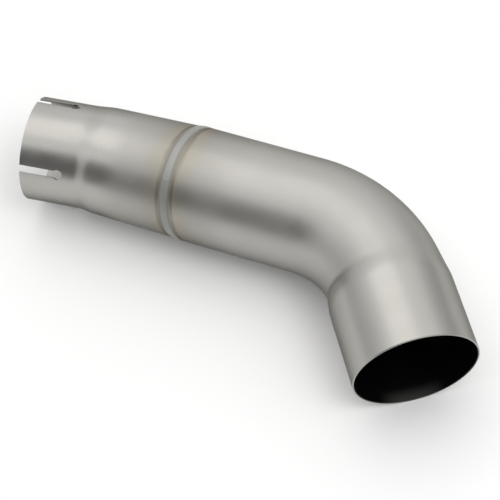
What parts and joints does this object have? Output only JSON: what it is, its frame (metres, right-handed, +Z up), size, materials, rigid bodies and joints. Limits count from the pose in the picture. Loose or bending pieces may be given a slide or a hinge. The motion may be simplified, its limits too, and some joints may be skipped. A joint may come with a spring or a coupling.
{
  "type": "exhaust link pipe",
  "caption": "Bent titanium exhaust link pipe: slotted clamp sleeve, stepped cone, ring weld and a bend that opens into an outlet socket.",
  "frame": {"origin": "centre of the inlet mouth, on the sleeve's axis", "axes": "+X along the sleeve's axis into the pipe, +Y to the outside of the bend, so that the pipe turns towards -Y, +Z up with the bend lying flat in the XY plane"},
  "size_m": [0.2666, 0.1395, 0.068],
  "materials": {
    "titanium": "satin bead-blasted titanium, straw heat tint beside the weld, sooty black bore",
    "weld_metal": "smooth silvery weld with fine ripples"
  },
  "bodies": {
    "root": {"inlet_sleeve": "titanium", "weld_bead": "weld_metal", "bend_tube": "titanium"}
  },
  "joints": []
}
